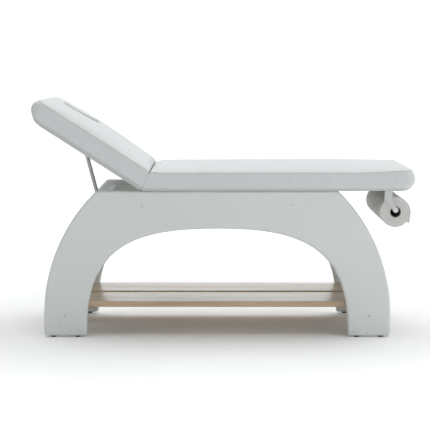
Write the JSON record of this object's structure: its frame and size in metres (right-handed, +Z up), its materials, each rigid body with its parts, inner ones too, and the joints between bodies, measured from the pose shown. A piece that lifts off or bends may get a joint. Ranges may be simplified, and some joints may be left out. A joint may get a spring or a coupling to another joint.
{
  "type": "massage table",
  "caption": "Massage table with arched side panels, a padded seat, a backrest that tilts on a telescopic strut, a lift-out face plug, a slatted shelf and a paper roll holder.",
  "frame": {"origin": "on the floor, under the middle of the table's box", "axes": "+X from the head end to the foot end, +Y away from the side in the picture, +Z up"},
  "size_m": [1.7392, 0.6994, 1.0916],
  "materials": {
    "panel_lacquer": "white lacquer, satin",
    "rail_lacquer": "white lacquer on planed beech",
    "shelf_wood": "pale greyed wood, matt",
    "dowel_wood": "plain beech",
    "plywood": "birch plywood with white painted faces",
    "pad_cover": "white coated cover over foam",
    "zinc_steel": "bright zinc plate",
    "chromed_steel": "polished chrome",
    "black_plastic": "black nylon",
    "glide_plastic": "dark grey nylon",
    "white_steel": "white powder coat",
    "card": "grey brown card",
    "paper": "white crepe paper"
  },
  "bodies": {
    "frame": {"side_panel_front": "panel_lacquer", "side_panel_back": "panel_lacquer", "long_rail_front": "rail_lacquer", "long_rail_back": "rail_lacquer", "upper_cross_rail_head": "rail_lacquer", "upper_cross_rail_foot": "rail_lacquer", "end_cross_rail_head": "rail_lacquer", "end_cross_rail_foot": "rail_lacquer", "strut_cross_rail": "rail_lacquer", "lower_cross_rail_head": "rail_lacquer", "lower_cross_rail_foot": "rail_lacquer", "shelf_board_front": "shelf_wood", "shelf_board_back": "shelf_wood", "frame_bolts": "zinc_steel", "barrel_nuts": "zinc_steel", "frame_dowels": "dowel_wood", "rail_screws": "zinc_steel", "end_rail_screws": "zinc_steel", "shelf_screws": "zinc_steel", "foot_glides": "glide_plastic", "seat_board": "plywood", "seat_pad": "pad_cover", "seat_brackets": "zinc_steel", "seat_bracket_screws": "zinc_steel", "hinge_fixed_leaves": "zinc_steel", "hinge_pins": "zinc_steel", "hinge_fixed_screws": "zinc_steel", "strut_foot_bracket": "zinc_steel", "strut_foot_pin": "zinc_steel", "strut_foot_screws": "zinc_steel", "roll_bracket_front": "white_steel", "roll_bracket_back": "white_steel", "roll_rod": "white_steel", "roll_rod_screws": "zinc_steel", "roll_bracket_screws": "zinc_steel"},
    "backrest": {"backrest_board": "plywood", "backrest_pad": "pad_cover", "hinge_moving_leaves": "zinc_steel", "hinge_moving_screws": "zinc_steel", "strut_head_bracket": "zinc_steel", "strut_head_pin": "zinc_steel", "strut_head_screws": "zinc_steel"},
    "face_plug": {"face_plug": "pad_cover", "face_plug_board": "plywood"},
    "strut_tube": {"strut_tube": "chromed_steel", "strut_tube_eye": "black_plastic", "strut_guide_bush": "black_plastic"},
    "strut_rod": {"strut_rod": "chromed_steel", "strut_rod_head": "chromed_steel", "strut_rod_lug": "zinc_steel"},
    "paper_roll": {"roll_core": "card", "paper_roll": "paper"}
  },
  "joints": [
    {"name": "backrest_hinge", "type": "hinge", "parent": "frame", "child": "backrest", "pos_m": [-0.37737, 0, 0.67875], "axis": [0, 1, 0], "range_deg": [-32.6, 12.4]},
    {"name": "strut_swing", "type": "hinge", "parent": "backrest", "child": "strut_tube", "pos_m": [-0.65931, 0, 0.84297], "axis": [0, 1, 0], "range_deg": [-6.5, 16]},
    {"name": "strut_slide", "type": "slide", "parent": "strut_tube", "child": "strut_rod", "axis": [0.2516, 0, -0.9678], "range_m": [-0.142, 0.055]},
    {"name": "face_plug_lift", "type": "slide", "parent": "backrest", "child": "face_plug", "axis": [0.5388, 0, 0.8425], "range_m": [0, 0.13]},
    {"name": "paper_roll_turn", "type": "hinge", "parent": "frame", "child": "paper_roll", "pos_m": [0.78863, 0, 0.5796], "axis": [0, 1, 0], "continuous": true}
  ],
  "couplings": [
    {"joint": "strut_swing", "follows": "backrest_hinge", "ratio": -0.4691},
    {"joint": "strut_slide", "follows": "backrest_hinge", "m_per_rad": 0.2483}
  ]
}
